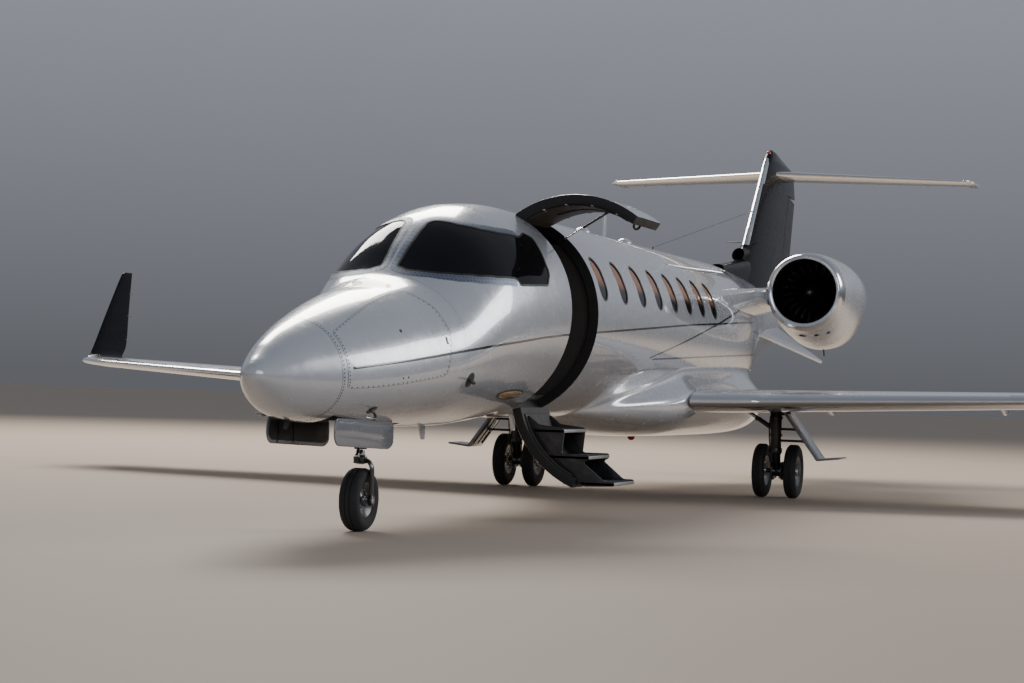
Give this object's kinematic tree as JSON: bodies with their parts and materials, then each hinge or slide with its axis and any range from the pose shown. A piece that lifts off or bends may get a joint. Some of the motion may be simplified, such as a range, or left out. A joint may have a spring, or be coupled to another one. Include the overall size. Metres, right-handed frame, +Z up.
{
  "type": "business jet",
  "caption": "Low-wing business jet on its landing gear with rear engines, a T-tail, winglets and an open clamshell entry door with steps.",
  "frame": {"origin": "on the ground under the middle of the aircraft's overall length and span", "axes": "+Y aft along the body, the nose at -Y; +X to the port side; +Z up"},
  "size_m": [14.5718, 17.68, 4.31],
  "materials": {
    "white_paint": "gloss",
    "black_paint": "gloss",
    "bare_metal": "satin",
    "glazing": "tinted",
    "tyre": "matte",
    "lining": "matte",
    "seat_leather": "soft",
    "dark_trim": "matte"
  },
  "bodies": {
    "airframe": {"radome": "white_paint", "nose_section": "white_paint", "cockpit_shell": "white_paint", "windshield_left": "glazing", "windshield_right": "glazing", "cabin_crown": "white_paint", "cabin_belly": "white_paint", "cabin_wall_left": "white_paint", "cabin_wall_right": "white_paint", "cabin_windows_left": "glazing", "cabin_windows_right": "glazing", "cabin_floor": "lining", "instrument_panel": "dark_trim", "galley_cabinet": "lining", "entry_partition": "lining", "pilot_seats": "seat_leather", "cabin_seats_left": "seat_leather", "cabin_seats_right": "seat_leather", "tail_section": "white_paint", "wing_fairing": "white_paint", "wing_left": "white_paint", "wing_right": "white_paint", "winglet_left": "black_paint", "winglet_right": "black_paint", "pylon_left": "white_paint", "pylon_right": "white_paint", "nacelle_left": "white_paint", "nacelle_right": "white_paint", "engine_left": "bare_metal", "engine_right": "bare_metal", "fin": "black_paint", "stabilizer": "white_paint", "delta_fin_left": "white_paint", "delta_fin_right": "white_paint", "nose_gear_leg": "bare_metal", "nose_gear_door_left": "white_paint", "nose_gear_door_right": "white_paint", "main_gear_leg_left": "bare_metal", "main_gear_leg_right": "bare_metal", "main_gear_door_left": "white_paint", "main_gear_door_right": "white_paint"},
    "nose_fork": {"nose_gear_fork": "bare_metal"},
    "nose_wheel": {"nose_wheel": "tyre"},
    "main_wheels_left": {"main_wheels_left": "tyre"},
    "main_wheels_right": {"main_wheels_right": "tyre"},
    "upper_door": {"entry_door_upper": "white_paint", "door_strut": "dark_trim"},
    "lower_door": {"entry_door_lower": "white_paint", "entry_steps": "bare_metal"},
    "baggage_door": {"baggage_door": "white_paint"},
    "fan_left": {"fan_left": "bare_metal"},
    "fan_right": {"fan_right": "bare_metal"},
    "rudder": {"rudder": "black_paint"},
    "elevator_left": {"elevator_left": "white_paint"},
    "elevator_right": {"elevator_right": "white_paint"},
    "aileron_left": {"aileron_left": "white_paint"},
    "aileron_right": {"aileron_right": "white_paint"},
    "flap_left": {"flap_left": "white_paint"},
    "flap_right": {"flap_right": "white_paint"}
  },
  "joints": [
    {"name": "nose_steering", "type": "hinge", "parent": "airframe", "child": "nose_fork", "pos_m": [0, -6.855, 0.59], "axis": [0, 0, 1], "range_deg": [-60, 60]},
    {"name": "nose_wheel_spin", "type": "hinge", "parent": "nose_fork", "child": "nose_wheel", "pos_m": [0, -6.855, 0.2285], "axis": [1, 0, 0], "continuous": true},
    {"name": "main_wheels_left_spin", "type": "hinge", "parent": "airframe", "child": "main_wheels_left", "pos_m": [1.43, 1.09, 0.2795], "axis": [1, 0, 0], "continuous": true},
    {"name": "main_wheels_right_spin", "type": "hinge", "parent": "airframe", "child": "main_wheels_right", "pos_m": [-1.43, 1.09, 0.2795], "axis": [1, 0, 0], "continuous": true},
    {"name": "upper_door_hinge", "type": "hinge", "parent": "airframe", "child": "upper_door", "pos_m": [0.3543, -4.227, 2.485], "axis": [0, 1, 0], "range_deg": [0, 60]},
    {"name": "lower_door_hinge", "type": "hinge", "parent": "airframe", "child": "lower_door", "pos_m": [0.3861, -4.227, 0.8995], "axis": [0, -1, 0], "range_deg": [0, 104]},
    {"name": "baggage_door_hinge", "type": "hinge", "parent": "airframe", "child": "baggage_door", "pos_m": [0.75881, 2.4, 1.32055], "axis": [-0.128, 0.9906, 0.0479], "range_deg": [0, 95]},
    {"name": "fan_left_spin", "type": "hinge", "parent": "airframe", "child": "fan_left", "pos_m": [1.392, 2.94, 2.235], "axis": [0, 1, 0], "continuous": true},
    {"name": "fan_right_spin", "type": "hinge", "parent": "airframe", "child": "fan_right", "pos_m": [-1.392, 2.94, 2.235], "axis": [0, 1, 0], "continuous": true},
    {"name": "rudder_hinge", "type": "hinge", "parent": "airframe", "child": "rudder", "pos_m": [0, 7.43, 2.52], "axis": [0, 0.3948, 0.9188], "range_deg": [-25, 25]},
    {"name": "elevator_left_hinge", "type": "hinge", "parent": "airframe", "child": "elevator_left", "pos_m": [0.17, 7.85, 4.01], "axis": [0.9463, 0.3233, 0], "range_deg": [-15, 20]},
    {"name": "elevator_right_hinge", "type": "hinge", "parent": "airframe", "child": "elevator_right", "pos_m": [-0.17, 7.85, 4.01], "axis": [0.9463, -0.3233, 0], "range_deg": [-15, 20]},
    {"name": "aileron_left_hinge", "type": "hinge", "parent": "airframe", "child": "aileron_left", "pos_m": [4.52, 1.82247, 1.10697], "axis": [0.9937, 0.1015, 0.0468], "range_deg": [-20, 20]},
    {"name": "aileron_right_hinge", "type": "hinge", "parent": "airframe", "child": "aileron_right", "pos_m": [-4.52, 1.82247, 1.10697], "axis": [0.9937, -0.1015, -0.0468], "range_deg": [-20, 20]},
    {"name": "flap_left_hinge", "type": "hinge", "parent": "airframe", "child": "flap_left", "pos_m": [1.01, 1.59218, 0.86664], "axis": [-0.9991, -0.0277, -0.0334], "range_deg": [0, 40]},
    {"name": "flap_right_hinge", "type": "hinge", "parent": "airframe", "child": "flap_right", "pos_m": [-1.01, 1.59218, 0.86664], "axis": [-0.9991, 0.0277, 0.0334], "range_deg": [0, 40]}
  ],
  "couplings": [
    {"joint": "elevator_right_hinge", "follows": "elevator_left_hinge", "ratio": 1},
    {"joint": "aileron_right_hinge", "follows": "aileron_left_hinge", "ratio": -1},
    {"joint": "flap_right_hinge", "follows": "flap_left_hinge", "ratio": 1}
  ]
}
